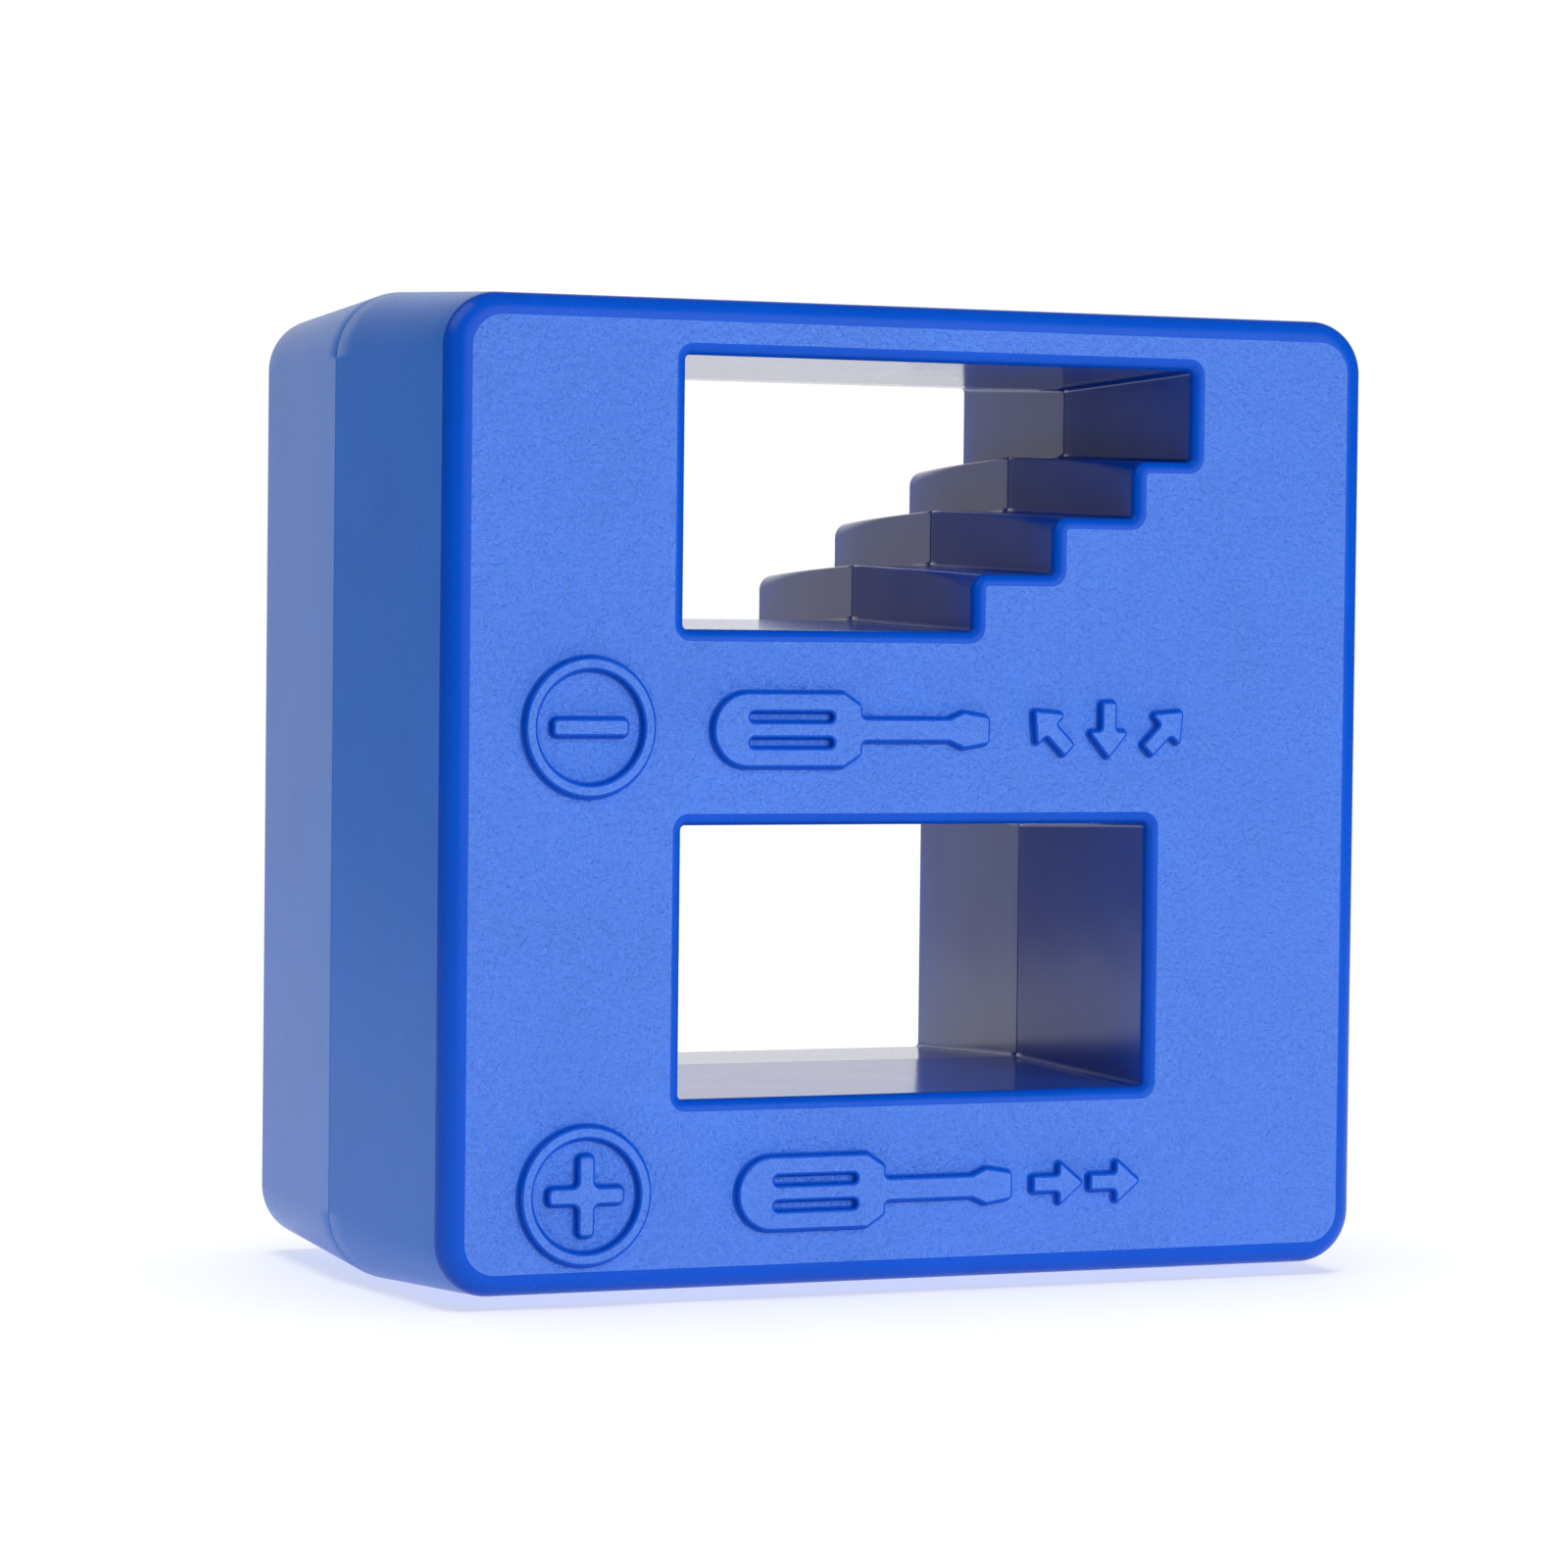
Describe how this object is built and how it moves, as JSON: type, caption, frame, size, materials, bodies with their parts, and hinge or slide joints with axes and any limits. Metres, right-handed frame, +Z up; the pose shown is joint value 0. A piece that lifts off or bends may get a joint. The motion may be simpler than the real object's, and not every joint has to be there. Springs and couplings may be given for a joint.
{
  "type": "magnetizer demagnetizer block",
  "caption": "Passive plastic block with a rectangular window that magnetizes small steel tools and a stepped window that demagnetizes them.",
  "frame": {"origin": "below the middle of the block, on the ridge of the seam that it stands on, midway between the raised marks' front and the back face", "axes": "+X to the right seen from the front, +Y from the front face to the back face, +Z up"},
  "size_m": [0.0536, 0.0284, 0.0509],
  "materials": {
    "casing": "blue moulded plastic, fine spark grain on the faces, satin sides and smooth tunnels",
    "magnet": "ground sintered ferrite, dark grey",
    "pad": "black closed-cell foam"
  },
  "bodies": {
    "root": {"front_shell": "casing", "rear_shell": "casing", "left_magnet": "magnet", "right_magnet": "magnet", "left_magnet_pad": "pad", "right_magnet_pad": "pad"}
  },
  "joints": []
}
